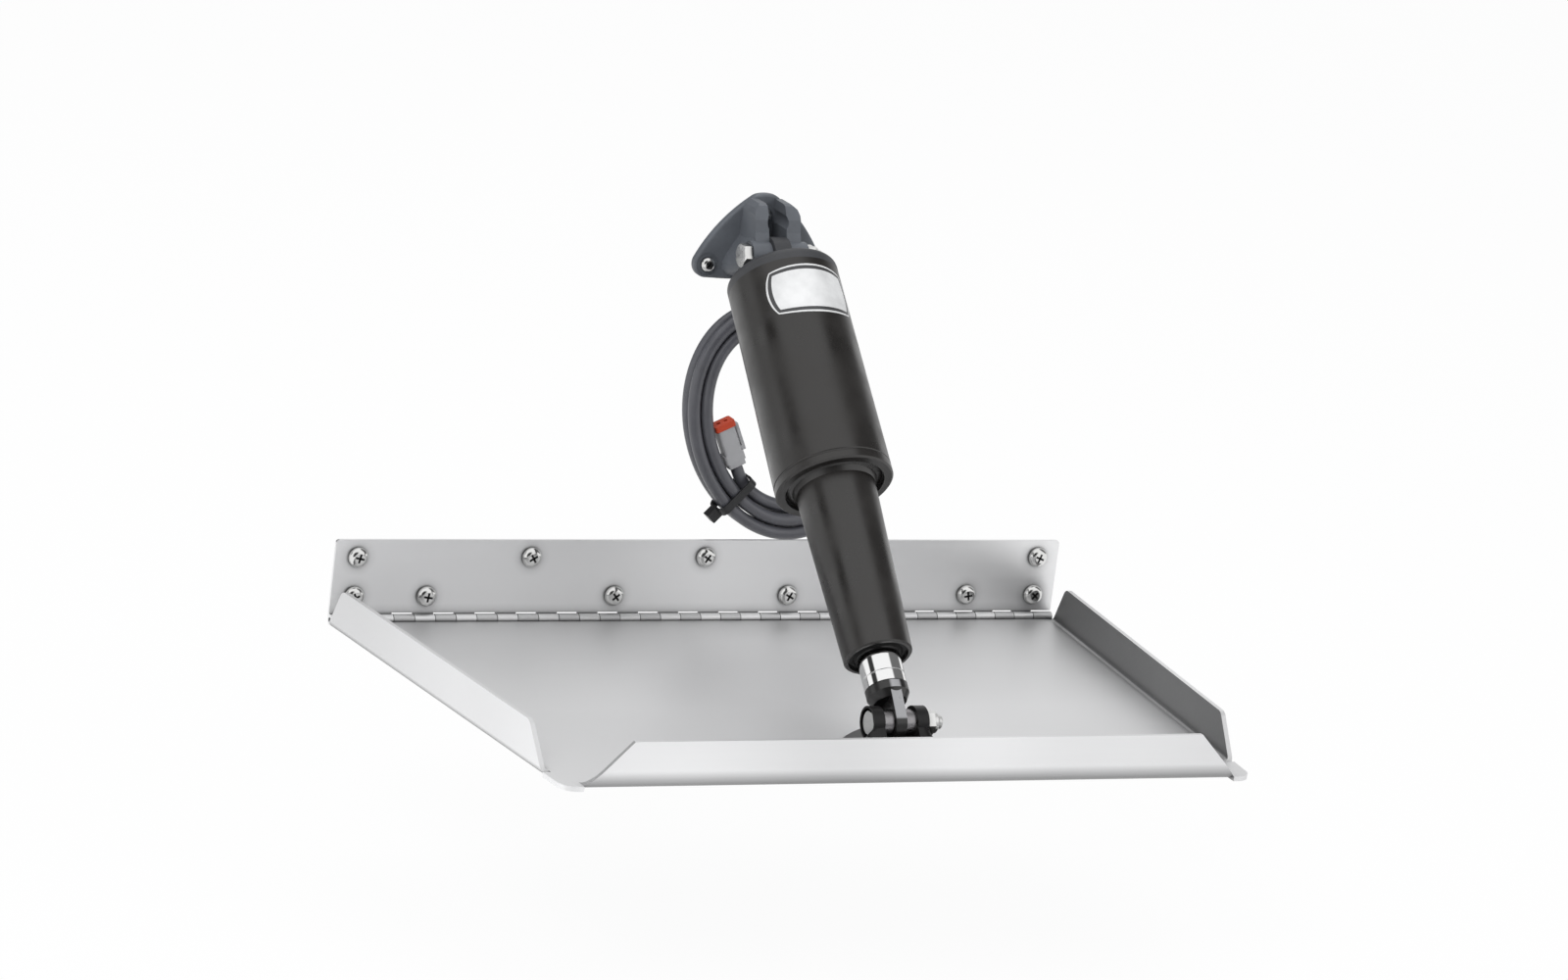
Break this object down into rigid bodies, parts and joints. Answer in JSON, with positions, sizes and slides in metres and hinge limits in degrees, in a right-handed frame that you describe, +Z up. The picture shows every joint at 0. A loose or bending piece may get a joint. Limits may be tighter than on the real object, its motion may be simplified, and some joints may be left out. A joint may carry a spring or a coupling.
{
  "type": "boat trim tab",
  "caption": "Stern trim tab: a hinged steel blade with folded edges, moved by an electric screw actuator between two pivot brackets.",
  "frame": {"origin": "middle of the transom plate's back face, halfway between its two rows of screws", "axes": "+X across the boat to starboard, +Y into the transom, +Z up; at rest the blade lies flat and points along -Y"},
  "size_m": [0.461, 0.3338, 0.2653],
  "materials": {
    "plate_steel": "fine brushed, light grey",
    "blade_steel": "fine brushed, light grey",
    "fixing_steel": "bright, slightly darker recesses",
    "bolt_steel": "bright",
    "upper_bracket_plastic": "dark blue-grey moulding",
    "lower_bracket_plastic": "black moulding",
    "housing_plastic": "black with a soft sheen",
    "sleeve_plastic": "black with a soft sheen",
    "ram_chrome": "polished",
    "end_plastic": "black",
    "bush_plastic": "dark grey bearing plastic",
    "cable_sheath": "dark blue-grey, satin",
    "seal_rubber": "matt black",
    "connector_grey": "grey",
    "wedge_orange": "orange-red",
    "tie_black": "black",
    "contact_metal": "plated",
    "bronze": "machined",
    "motor_steel": "plain can",
    "plate_aluminium": "machined",
    "gear_plastic": "natural nylon",
    "pinion_steel": "machined"
  },
  "bodies": {
    "mounting": {"transom_plate": "plate_steel", "plate_screws": "fixing_steel", "hinge_pin": "bolt_steel", "upper_bracket": "upper_bracket_plastic", "upper_bracket_screws": "fixing_steel", "upper_pivot_bolt": "bolt_steel", "upper_pivot_nut": "bolt_steel", "cable_grommet": "seal_rubber", "cable_run": "cable_sheath", "cable_coil": "cable_sheath", "cable_tail": "cable_sheath", "cable_tie": "tie_black", "connector_body": "connector_grey", "connector_wedge": "wedge_orange", "connector_contacts": "contact_metal"},
    "blade": {"blade": "blade_steel", "lower_bracket": "lower_bracket_plastic", "lower_bracket_bolts": "fixing_steel", "lower_bracket_nuts": "fixing_steel", "lower_pivot_bolt": "bolt_steel", "lower_pivot_nut": "bolt_steel", "lower_pivot_bushes": "bush_plastic"},
    "actuator": {"top_cap": "housing_plastic", "upper_pivot_bush": "bush_plastic", "cap_oring": "seal_rubber", "cable_gland": "seal_rubber", "motor_housing": "housing_plastic", "motor": "motor_steel", "gearbox_plate": "plate_aluminium", "thrust_bearing": "bolt_steel", "ram_sleeve": "sleeve_plastic", "sleeve_oring": "seal_rubber", "guide_bush": "bush_plastic", "wiper_seal": "seal_rubber"},
    "ram": {"ram": "ram_chrome", "ram_end": "end_plastic", "drive_nut": "bronze"},
    "lead_screw": {"lead_screw": "bolt_steel", "screw_gear": "gear_plastic"},
    "pinion": {"motor_pinion": "pinion_steel"}
  },
  "joints": [
    {"name": "blade_hinge", "type": "hinge", "parent": "mounting", "child": "blade", "pos_m": [0, -0.0031, -0.0251], "axis": [1, 0, 0], "range_deg": [0, 18]},
    {"name": "upper_pivot", "type": "hinge", "parent": "mounting", "child": "actuator", "pos_m": [0.0096, -0.026, 0.1967], "axis": [1, 0, 0], "range_deg": [0, 10.2], "deforming": ["cable_run"]},
    {"name": "ram_slide", "type": "slide", "parent": "actuator", "child": "ram", "axis": [0, -0.7325, -0.6807], "range_m": [0, 0.054]},
    {"name": "lead_screw_spin", "type": "hinge", "parent": "actuator", "child": "lead_screw", "pos_m": [0.0096, -0.026, 0.1967], "axis": [0, -0.7325, -0.6807], "range_deg": [-3060, 0]},
    {"name": "pinion_spin", "type": "hinge", "parent": "actuator", "child": "pinion", "pos_m": [0.0096, -0.03366, 0.20494], "axis": [0, -0.7325, -0.6807], "range_deg": [0, 8400]}
  ],
  "couplings": [
    {"joint": "upper_pivot", "follows": "blade_hinge", "ratio": 0.55005},
    {"joint": "ram_slide", "follows": "blade_hinge", "m_per_rad": 0.16775},
    {"joint": "lead_screw_spin", "follows": "blade_hinge", "ratio": -165.99},
    {"joint": "pinion_spin", "follows": "blade_hinge", "ratio": 456.46}
  ]
}
